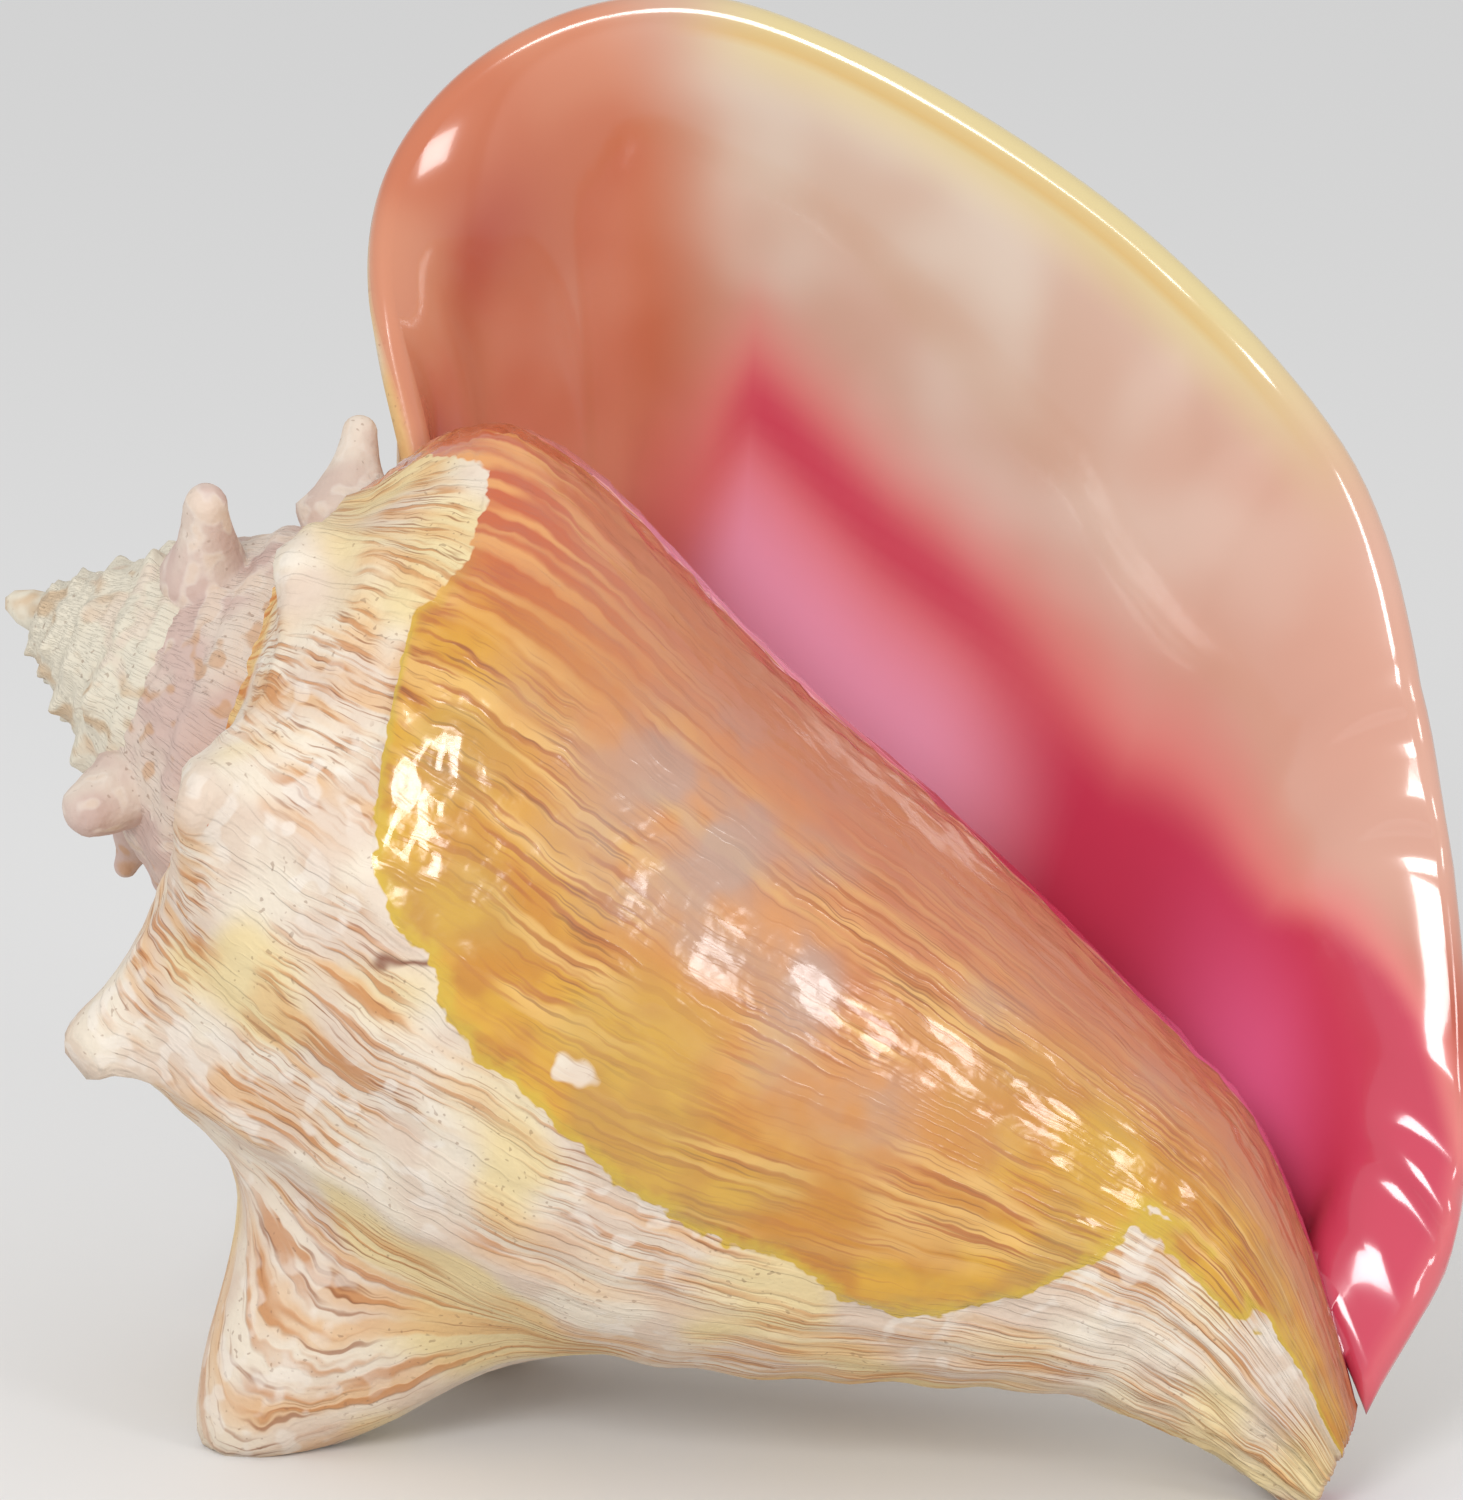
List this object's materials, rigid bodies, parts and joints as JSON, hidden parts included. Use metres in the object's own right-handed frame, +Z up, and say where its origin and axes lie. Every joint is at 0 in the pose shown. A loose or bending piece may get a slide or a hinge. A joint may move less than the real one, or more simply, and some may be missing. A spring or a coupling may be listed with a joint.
{
  "type": "conch shell",
  "caption": "Large dextral sea snail shell with a spiny conical spire, a hollow body whorl and a wide glossy flared lip beside a long aperture.",
  "frame": {"origin": "centre of the footprint box, on the ground plane it rests on", "axes": "-Y is the way the aperture faces, -X is towards the spire, +X towards the canal, +Z up"},
  "size_m": [0.2052, 0.1386, 0.1983],
  "materials": {
    "shell": "chalky outside, polished on the lip, callus and aperture"
  },
  "bodies": {
    "root": {"conch_shell": "shell"}
  },
  "joints": []
}
